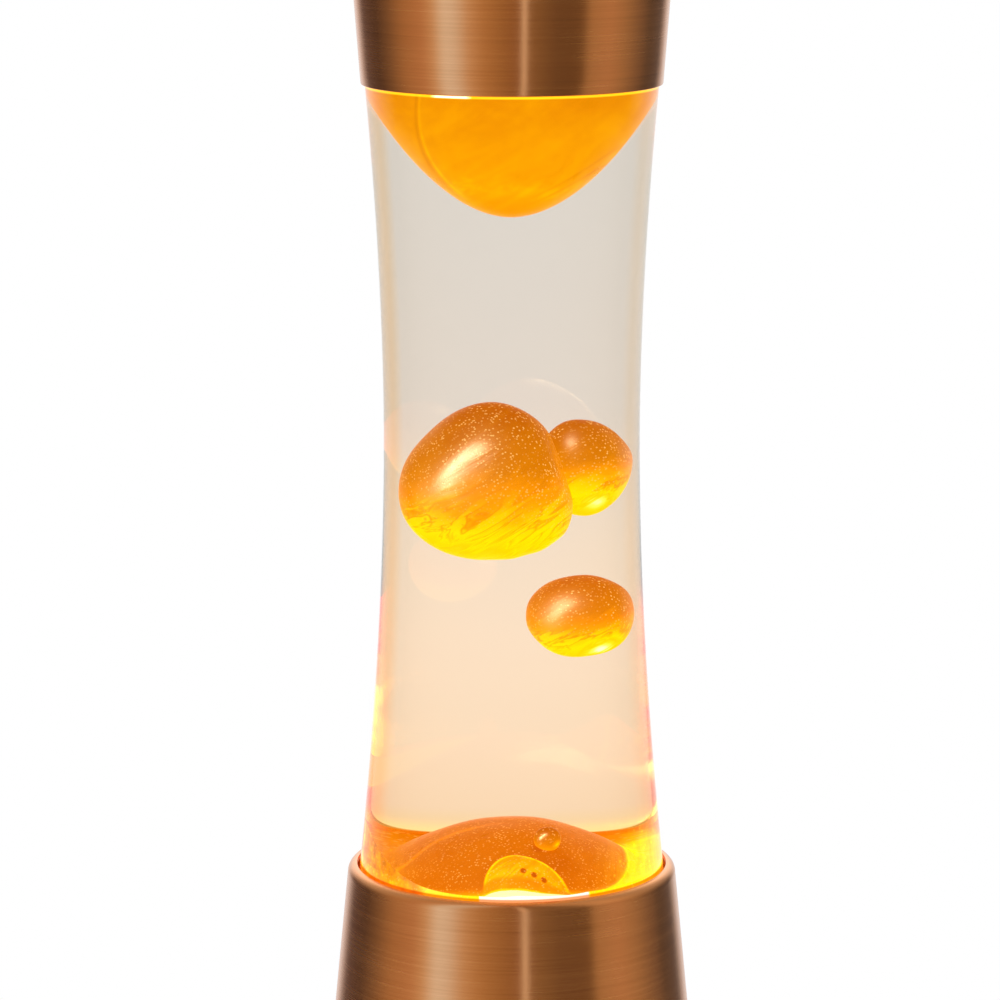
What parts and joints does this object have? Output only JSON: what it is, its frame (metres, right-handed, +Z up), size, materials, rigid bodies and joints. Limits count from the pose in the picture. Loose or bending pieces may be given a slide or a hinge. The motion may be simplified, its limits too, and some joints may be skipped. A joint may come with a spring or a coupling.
{
  "type": "lava lamp",
  "caption": "Hourglass glass bottle of clear liquid and orange wax between a brushed copper-coloured cone base and a flared cap, lit from below by a screw-in bulb.",
  "frame": {"origin": "centre of the footprint, on the surface that the rubber feet rest on", "axes": "+Z up along the lamp's axis, +Y towards the back, where the cord's inlet is, +X to the right"},
  "size_m": [0.11, 0.11, 0.4],
  "materials": {
    "copper_finish": "brushed, copper coloured",
    "clear_glass": "clear, polished",
    "bulb_glass": "clear face, silvered flank",
    "clear_liquid": "clear liquid",
    "orange_wax": "smooth, translucent",
    "zinc_steel": "zinc plated",
    "tinned_steel": "bright",
    "screw_brass": "bright",
    "holder_plastic": "satin, moulded",
    "pale_plastic": "satin, moulded",
    "black_rubber": "matt",
    "solder": "dull",
    "live_insulation": "satin",
    "neutral_insulation": "satin",
    "earth_insulation": "satin"
  },
  "bodies": {
    "base": {"base_shell": "copper_finish", "base_foot_ring": "zinc_steel", "bottle_seat_ring": "zinc_steel", "bottom_cover": "zinc_steel", "bottom_cover_screw_1": "zinc_steel", "bottom_cover_screw_2": "zinc_steel", "bottom_cover_screw_3": "zinc_steel", "rubber_foot_1": "black_rubber", "rubber_foot_2": "black_rubber", "rubber_foot_3": "black_rubber", "rubber_foot_4": "black_rubber", "cable_grommet": "black_rubber", "terminal_block": "pale_plastic", "terminal_screw_1": "screw_brass", "terminal_screw_2": "screw_brass", "terminal_screw_3": "screw_brass", "earth_lead": "earth_insulation", "live_lead": "live_insulation", "neutral_lead": "neutral_insulation", "earth_ring_terminal": "screw_brass", "earth_screw": "zinc_steel", "lamp_holder_bracket": "zinc_steel", "bracket_screw_1": "zinc_steel", "bracket_screw_2": "zinc_steel", "holder_nipple": "zinc_steel", "holder_nut": "zinc_steel", "lamp_holder_body": "holder_plastic", "socket_thread_shell": "screw_brass", "socket_contact": "screw_brass"},
    "bulb_tip": {"bulb_contact_tip": "solder"},
    "bulb": {"bulb_insulator": "holder_plastic", "bulb_screw_cap": "tinned_steel", "bulb_envelope": "bulb_glass", "bulb_stem": "bulb_glass", "bulb_filament": "tinned_steel"},
    "bottle": {"glass_bottle": "clear_glass", "closure_liner": "pale_plastic", "bottle_crown_cap": "tinned_steel", "clear_liquid": "clear_liquid", "wax_pool": "orange_wax", "heat_coil": "tinned_steel", "wax_top_dome": "orange_wax"},
    "cap": {"top_cap": "copper_finish"},
    "wax_pair": {"wax_blob_large": "orange_wax", "wax_blob_upper": "orange_wax"},
    "wax_lower": {"wax_blob_lower": "orange_wax"},
    "wax_small": {"wax_bead": "orange_wax"}
  },
  "joints": [
    {"name": "bottle_lift", "type": "slide", "parent": "base", "child": "bottle", "axis": [0, 0, 1], "range_m": [0, 0.06]},
    {"name": "cap_lift", "type": "slide", "parent": "bottle", "child": "cap", "axis": [0, 0, 1], "range_m": [0, 0.075]},
    {"name": "bulb_rise", "type": "slide", "parent": "base", "child": "bulb_tip", "axis": [0, 0, 1], "range_m": [0, 0.0085]},
    {"name": "bulb_turn", "type": "hinge", "parent": "bulb_tip", "child": "bulb", "pos_m": [0, 0, 0.038], "axis": [0, 0, 1], "range_deg": [0, 1080]},
    {"name": "wax_pair_rise", "type": "slide", "parent": "bottle", "child": "wax_pair", "axis": [0, 0, 1], "range_m": [0, 0.035]},
    {"name": "wax_lower_drift", "type": "slide", "parent": "bottle", "child": "wax_lower", "axis": [0, 0, 1], "range_m": [-0.03, 0.006]},
    {"name": "wax_bead_rise", "type": "slide", "parent": "bottle", "child": "wax_small", "axis": [0, 0, 1], "range_m": [0, 0.04]}
  ],
  "couplings": [
    {"joint": "bulb_rise", "follows": "bulb_turn", "m_per_rad": 0.00044913}
  ]
}
